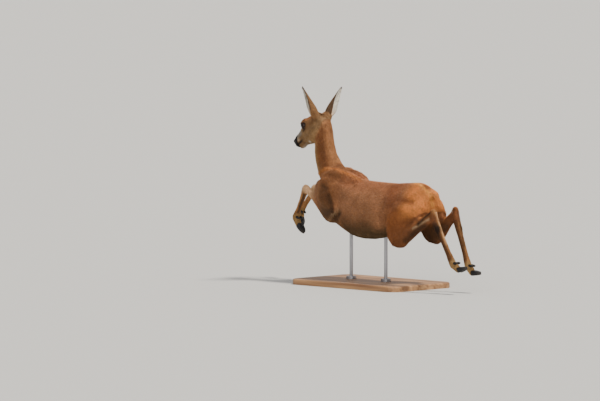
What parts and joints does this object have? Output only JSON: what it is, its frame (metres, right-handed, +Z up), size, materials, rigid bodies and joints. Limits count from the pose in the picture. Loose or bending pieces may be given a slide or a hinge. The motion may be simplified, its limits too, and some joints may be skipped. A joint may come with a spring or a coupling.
{
  "type": "roe deer",
  "caption": "Life-size roe doe in a bounding leap, summer coat, forelegs folded and hind legs trailing, on a display stand with a flat base and rods.",
  "frame": {"origin": "centre of the underside of the stand's base", "axes": "the doe faces -Y, its left side is +X and +Z is up"},
  "size_m": [0.38, 1.1488, 0.8575],
  "materials": {
    "coat_red": "short flat summer coat, fox red, paler on the rump and shaded below",
    "coat_head": "very short coat, grey brown cheek, red brown brow, grey white muzzle top, black nose",
    "coat_ear": "short coat, brown back, dark rim and tip, whitish hair inside",
    "coat_leg": "very short close coat, buff, with a dark streak down each cannon",
    "horn": "black horn, fine growth lines",
    "eye": "dark brown, wet and glossy",
    "stand_wood": "oiled oak, eased edges",
    "stand_steel": "brushed"
  },
  "bodies": {
    "root": {"dewclaw_fore_left_inner": "horn", "dewclaw_fore_left_outer": "horn", "dewclaw_fore_right_inner": "horn", "dewclaw_fore_right_outer": "horn", "dewclaw_hind_left_inner": "horn", "dewclaw_hind_left_outer": "horn", "dewclaw_hind_right_inner": "horn", "dewclaw_hind_right_outer": "horn", "ear_left": "coat_ear", "ear_right": "coat_ear", "eye_left": "eye", "eye_right": "eye", "foreleg_left_cannon": "coat_leg", "foreleg_left_forearm": "coat_leg", "foreleg_left_pastern": "coat_leg", "foreleg_right_cannon": "coat_leg", "foreleg_right_forearm": "coat_leg", "foreleg_right_pastern": "coat_leg", "head": "coat_head", "hindleg_left_cannon": "coat_leg", "hindleg_left_gaskin": "coat_red", "hindleg_left_pastern": "coat_leg", "hindleg_left_thigh": "coat_red", "hindleg_right_cannon": "coat_leg", "hindleg_right_gaskin": "coat_red", "hindleg_right_pastern": "coat_leg", "hindleg_right_thigh": "coat_red", "hoof_fore_left_inner": "horn", "hoof_fore_left_outer": "horn", "hoof_fore_right_inner": "horn", "hoof_fore_right_outer": "horn", "hoof_hind_left_inner": "horn", "hoof_hind_left_outer": "horn", "hoof_hind_right_inner": "horn", "hoof_hind_right_outer": "horn", "neck": "coat_red", "stand_base": "stand_wood", "stand_collar_front": "stand_steel", "stand_collar_rear": "stand_steel", "stand_rod_front": "stand_steel", "stand_rod_rear": "stand_steel", "tail": "coat_red", "trunk": "coat_red"}
  },
  "joints": []
}
